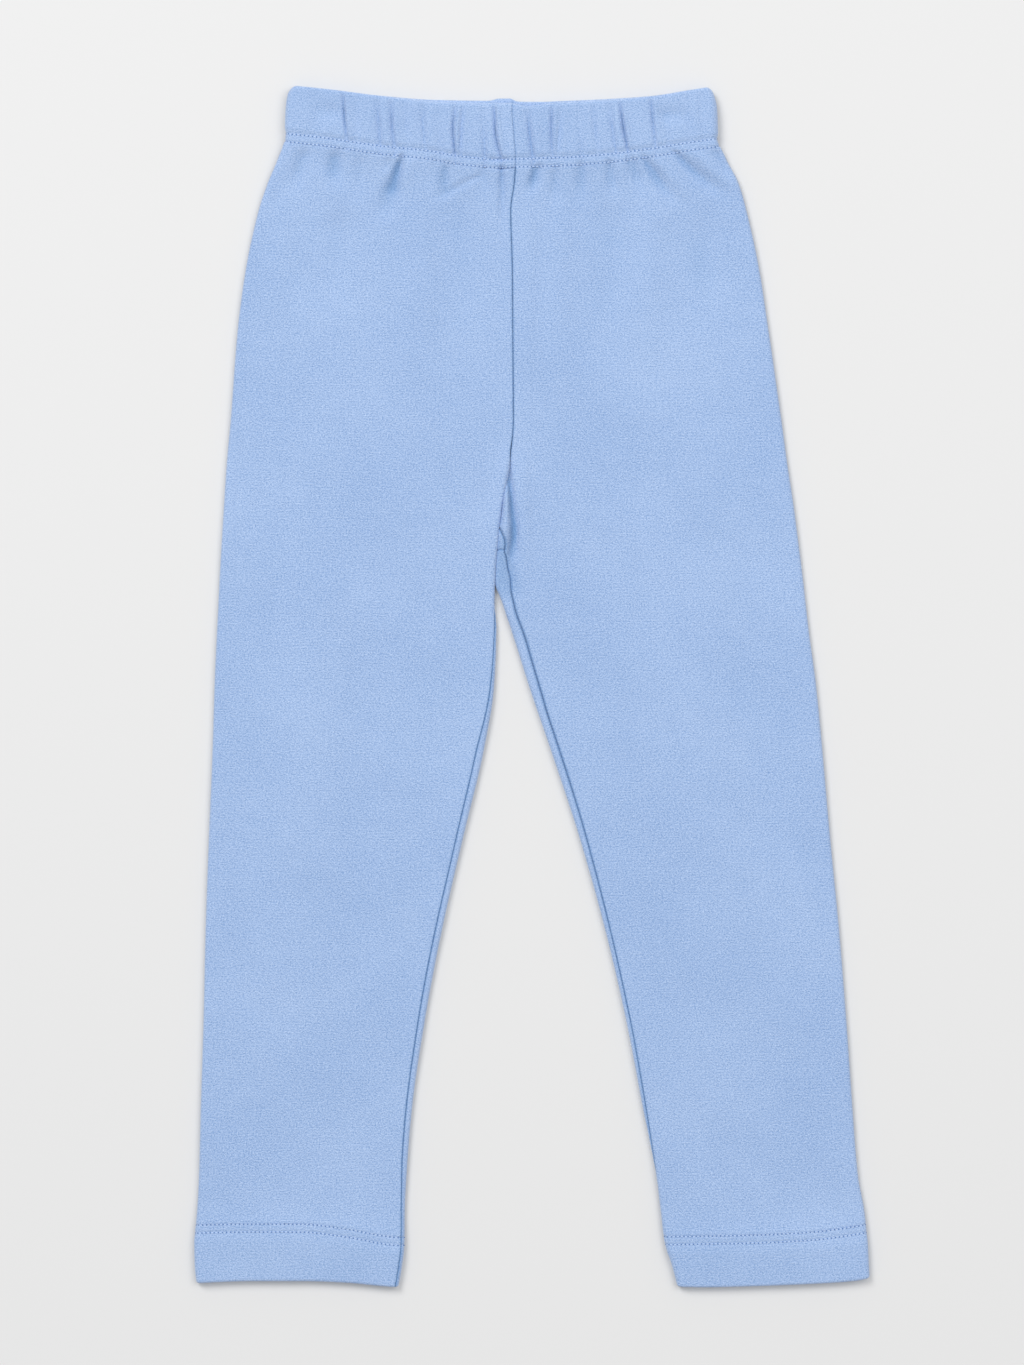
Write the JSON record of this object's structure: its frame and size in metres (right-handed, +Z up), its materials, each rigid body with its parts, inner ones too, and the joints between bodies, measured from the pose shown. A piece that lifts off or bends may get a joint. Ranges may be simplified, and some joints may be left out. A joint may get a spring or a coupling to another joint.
{
  "type": "pull-on leggings",
  "caption": "Child's cotton knit leggings laid flat, front up, with a gathered elastic waist casing and turned hems.",
  "frame": {"origin": "on the surface that the garment lies on, under the middle of its whole outline", "axes": "+X across the front from the wearer's right to left, +Y towards the waist, +Z up off the surface, out of the front"},
  "size_m": [0.3304, 0.5886, 0.0068],
  "materials": {
    "cotton_interlock": "matt light blue cotton double knit with a soft surface",
    "sewing_thread": "spun polyester thread, light blue, matt"
  },
  "bodies": {
    "root": {"right_leg": "cotton_interlock", "left_leg": "cotton_interlock", "right_waist_casing": "cotton_interlock", "left_waist_casing": "cotton_interlock", "right_hem": "cotton_interlock", "left_hem": "cotton_interlock"}
  },
  "joints": []
}
